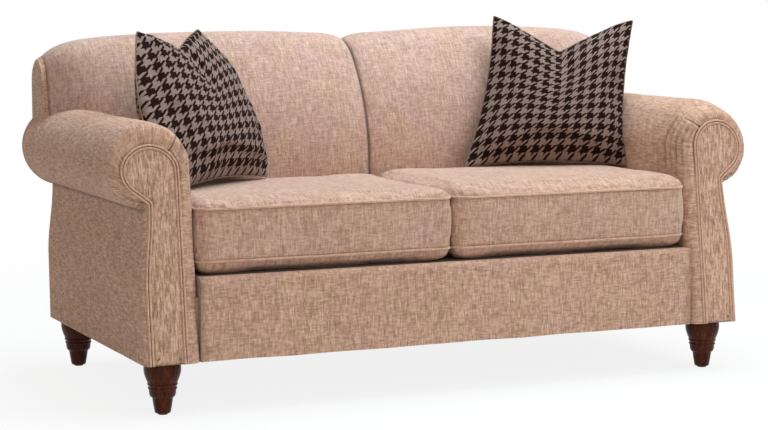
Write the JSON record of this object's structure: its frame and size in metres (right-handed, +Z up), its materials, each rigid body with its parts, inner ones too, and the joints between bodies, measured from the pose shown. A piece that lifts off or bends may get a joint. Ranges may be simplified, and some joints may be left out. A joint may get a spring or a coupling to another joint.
{
  "type": "two-seater sofa",
  "caption": "Two-seater sofa with rolled arms, piped scroll facings, a tight crested back, loose box cushions, houndstooth scatter pillows and turned feet.",
  "frame": {"origin": "on the floor, under the middle of the overall box", "axes": "+X to the right as seen from the front, along the sofa's length; +Y from the front to the back; +Z up"},
  "size_m": [1.684, 0.8237, 0.8756],
  "materials": {
    "tweed": "flat-woven linen-look upholstery cloth with a slubbed cross-hatched weave",
    "welt_cord": "cord wrapped in the same upholstery cloth",
    "houndstooth": "woven houndstooth in dark brown on greyish beige",
    "frame_wood": "sawn beech, unfinished",
    "foot_wood": "turned hardwood, dark walnut stain, semi-gloss lacquer",
    "spring_steel": "oil-tempered spring wire",
    "plate_steel": "zinc-plated steel",
    "webbing": "elastic strap webbing",
    "deck_cloth": "felt under plain platform cloth",
    "dust_cloth": "black cambric",
    "arm_padding": "polyester wadding over felt",
    "cushion_foam": "upholstery foam with a fibre wrap",
    "pillow_fill": "cotton case filled with fibre",
    "glide_plastic": "nail-on glide"
  },
  "bodies": {
    "sofa": {"front_rail_cover": "tweed", "arm_cover_right": "tweed", "arm_cover_left": "tweed", "outside_arm_right": "tweed", "outside_arm_left": "tweed", "arm_facing_right": "tweed", "arm_facing_left": "tweed", "inside_back_right": "tweed", "inside_back_left": "tweed", "back_end_band_right": "tweed", "back_end_band_left": "tweed", "outside_back": "tweed", "arm_facing_welts": "welt_cord", "back_post_right": "frame_wood", "back_post_left": "frame_wood", "front_rail": "frame_wood", "back_rail": "frame_wood", "side_rail_right": "frame_wood", "side_rail_left": "frame_wood", "centre_rail": "frame_wood", "spring_rail": "frame_wood", "corner_blocks": "frame_wood", "arm_board_right": "frame_wood", "arm_board_left": "frame_wood", "arm_slat_right": "frame_wood", "arm_slat_left": "frame_wood", "arm_top_board_right": "frame_wood", "arm_top_board_left": "frame_wood", "back_crest_rail": "frame_wood", "back_tack_rail": "frame_wood", "back_lower_rail": "frame_wood", "back_centre_post": "frame_wood", "turned_feet": "foot_wood", "seat_springs": "spring_steel", "spring_tie_wires": "spring_steel", "spring_clips": "plate_steel", "foot_plates": "plate_steel", "hanger_bolts": "plate_steel", "back_webbing": "webbing", "seat_deck": "deck_cloth", "dust_cover": "dust_cloth", "arm_roll_pad_right": "arm_padding", "arm_roll_pad_left": "arm_padding", "foot_glides": "glide_plastic"},
    "seat_cushion_left": {"seat_cushion_cover_left": "tweed", "seat_cushion_foam_left": "cushion_foam", "seat_cushion_welts_left": "welt_cord"},
    "seat_cushion_right": {"seat_cushion_cover_right": "tweed", "seat_cushion_foam_right": "cushion_foam", "seat_cushion_welts_right": "welt_cord"},
    "pillow_left": {"pillow_cover_left": "houndstooth", "pillow_insert_left": "pillow_fill"},
    "pillow_right": {"pillow_cover_right": "houndstooth", "pillow_insert_right": "pillow_fill"}
  },
  "joints": [
    {"name": "seat_cushion_left_lift", "type": "slide", "parent": "sofa", "child": "seat_cushion_left", "axis": [0, 0, 1], "range_m": [0, 0.56]},
    {"name": "pillow_left_lift", "type": "slide", "parent": "seat_cushion_left", "child": "pillow_left", "axis": [0, 0, 1], "range_m": [0, 0.42]},
    {"name": "seat_cushion_right_lift", "type": "slide", "parent": "sofa", "child": "seat_cushion_right", "axis": [0, 0, 1], "range_m": [0, 0.56]},
    {"name": "pillow_right_lift", "type": "slide", "parent": "seat_cushion_right", "child": "pillow_right", "axis": [0, 0, 1], "range_m": [0, 0.42]}
  ]
}
